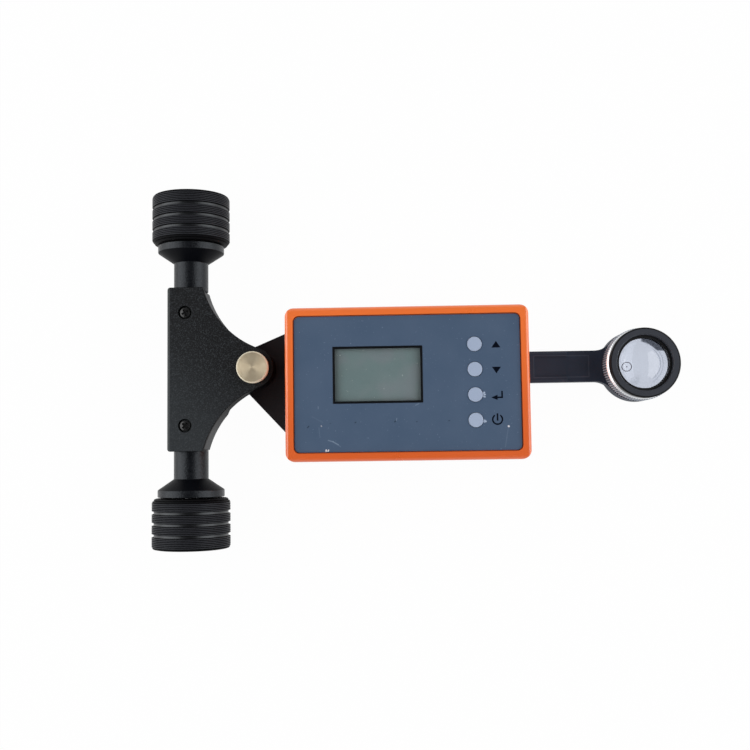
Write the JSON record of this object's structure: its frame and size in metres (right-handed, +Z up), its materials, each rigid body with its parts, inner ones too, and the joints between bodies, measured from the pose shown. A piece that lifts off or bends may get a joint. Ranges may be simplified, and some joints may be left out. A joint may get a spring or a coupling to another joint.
{
  "type": "digital linear planimeter",
  "caption": "Roller planimeter: ridged rollers on a waisted carriage, a pivoting case with display and keys, and a tracer arm with a focusing magnifier.",
  "frame": {"origin": "middle of the whole length and of the roller track, on the drawing surface", "axes": "+X along the tracer arm towards the magnifier, +Y along the roller axle, +Z up"},
  "size_m": [0.2378, 0.16, 0.0385],
  "materials": {
    "orange_plastic": "satin moulded plastic",
    "black_plastic": "fine moulded texture",
    "black_gloss": "smooth",
    "black_paint": "fine textured black paint",
    "black_anodised": "black anodised, turned",
    "black_steel": "blackened",
    "panel_blue": "satin printed face",
    "key_blue": "satin",
    "lcd_grey": "grey-green liquid crystal",
    "clear_glass": "clear",
    "steel": "machined",
    "brass": "turned",
    "silver": "machined bright",
    "board_green": "solder mask",
    "cell_wrap": "printed wrap",
    "contact_metal": "plated",
    "disc_film": "film"
  },
  "bodies": {
    "body": {"base_chassis": "black_plastic", "upper_case": "orange_plastic", "case_screws": "steel", "display_panel": "panel_blue", "display_bezel": "black_gloss", "display_window": "clear_glass", "lcd_module": "lcd_grey", "main_board": "board_green", "processor_chip": "black_plastic", "key_switches": "black_plastic", "board_screws": "steel", "battery_box": "black_plastic", "battery_box_screws": "steel", "battery_cells": "cell_wrap", "battery_contacts": "contact_metal", "battery_cover": "black_plastic", "battery_cover_screw": "steel", "wheel_yoke": "silver", "yoke_screws": "steel", "wheel_bearings": "steel", "encoder_sensor": "black_plastic", "swivel_bracket": "black_paint", "bracket_screws": "steel", "pivot_pin": "steel", "tracer_arm": "black_paint", "arm_screws": "steel", "reticle_disc": "clear_glass"},
    "carriage": {"carriage_frame": "black_paint", "carriage_cover": "black_paint", "cover_screws": "black_steel", "pivot_bush": "brass", "thrust_washer": "steel", "left_sleeve": "black_anodised", "right_sleeve": "black_anodised", "axle_bearings": "steel"},
    "rollers": {"roller_shaft": "steel", "left_roller": "black_anodised", "right_roller": "black_anodised", "roller_washers": "steel", "roller_screws": "steel"},
    "knob": {"pivot_knob": "brass"},
    "wheel": {"measuring_wheel": "steel", "wheel_axle": "steel", "encoder_disc": "disc_film"},
    "key_up": {"button_up": "key_blue"},
    "key_down": {"button_down": "key_blue"},
    "key_enter": {"button_enter": "key_blue"},
    "key_power": {"button_power": "key_blue"},
    "focus": {"focus_ring": "silver"},
    "lens": {"lens_cell": "black_anodised", "magnifier_lens": "clear_glass", "lens_retainer": "black_anodised"}
  },
  "joints": [
    {"name": "carriage_swing", "type": "hinge", "parent": "body", "child": "carriage", "pos_m": [-0.0715, 0, 0.019], "axis": [0, 0, 1], "range_deg": [-40, 40]},
    {"name": "axle_spin", "type": "hinge", "parent": "carriage", "child": "rollers", "pos_m": [-0.1014, 0, 0.0175], "axis": [0, 1, 0], "continuous": true},
    {"name": "knob_turn", "type": "hinge", "parent": "body", "child": "knob", "pos_m": [-0.0715, 0, 0.031], "axis": [0, 0, 1], "range_deg": [0, 180]},
    {"name": "wheel_spin", "type": "hinge", "parent": "body", "child": "wheel", "pos_m": [-0.0245, 0, 0.01], "axis": [1, 0, 0], "continuous": true},
    {"name": "focus_turn", "type": "hinge", "parent": "body", "child": "focus", "pos_m": [0.1025, 0, 0.0145], "axis": [0, 0, 1], "range_deg": [0, 270]},
    {"name": "lens_lift", "type": "slide", "parent": "body", "child": "lens", "axis": [0, 0, 1], "range_m": [0, 0.0015]},
    {"name": "key_up_press", "type": "slide", "parent": "body", "child": "key_up", "axis": [0, 0, -1], "range_m": [0, 0.0005], "stiffness_N_per_m": 400},
    {"name": "key_down_press", "type": "slide", "parent": "body", "child": "key_down", "axis": [0, 0, -1], "range_m": [0, 0.0005], "stiffness_N_per_m": 400},
    {"name": "key_enter_press", "type": "slide", "parent": "body", "child": "key_enter", "axis": [0, 0, -1], "range_m": [0, 0.0005], "stiffness_N_per_m": 400},
    {"name": "key_power_press", "type": "slide", "parent": "body", "child": "key_power", "axis": [0, 0, -1], "range_m": [0, 0.0005], "stiffness_N_per_m": 400}
  ],
  "couplings": [
    {"joint": "focus_turn", "follows": "lens_lift", "rad_per_m": 3141.6}
  ]
}
